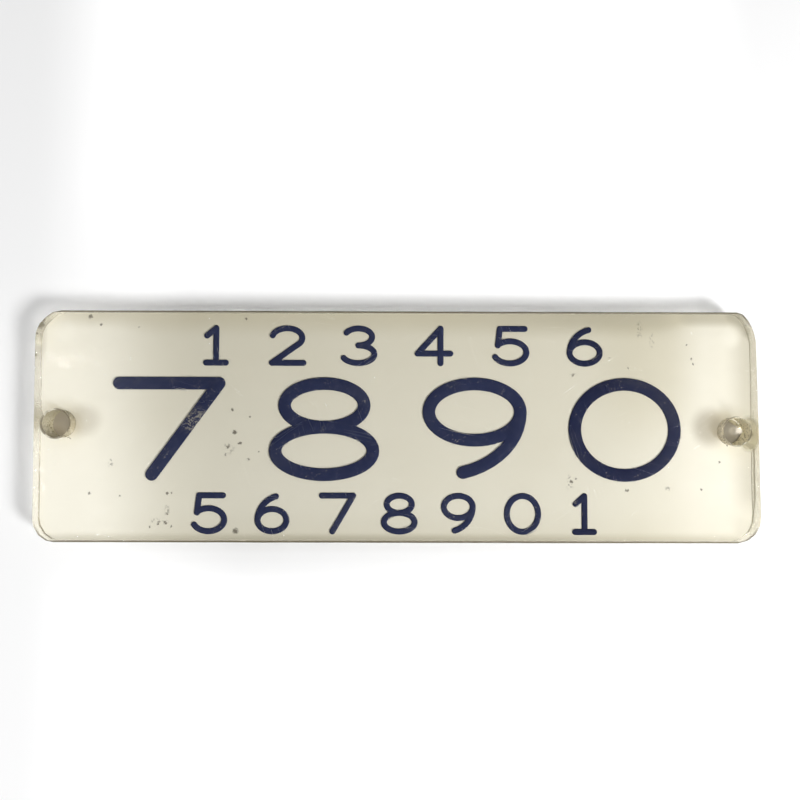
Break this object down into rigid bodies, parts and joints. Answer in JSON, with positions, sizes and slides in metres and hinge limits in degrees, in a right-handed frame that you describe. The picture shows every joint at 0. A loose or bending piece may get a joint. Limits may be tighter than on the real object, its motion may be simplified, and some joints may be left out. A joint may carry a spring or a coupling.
{
  "type": "railway car builders plate",
  "caption": "Rectangular clear acrylic wall plate with rounded corners, a through screw hole near each end and a cream painted back.",
  "frame": {"origin": "middle of the painted back, in the plane that the plate lies on", "axes": "+X along the plate to the right as it is read, +Y up the plate as it hangs, +Z out of the face"},
  "size_m": [0.16, 0.051, 0.0052],
  "materials": {
    "clear_acrylic": "clear cast acrylic, polished on the face and filed on the edges, slightly yellowed, finely scratched",
    "cream_paint": "brushed cream enamel, glossy where it is seen through the sheet and matt on the open back",
    "navy_paint": "navy blue enamel run into the engraved strokes, slightly worn"
  },
  "bodies": {
    "root": {"clear_sheet": "clear_acrylic", "back_coat": "cream_paint"}
  },
  "joints": []
}
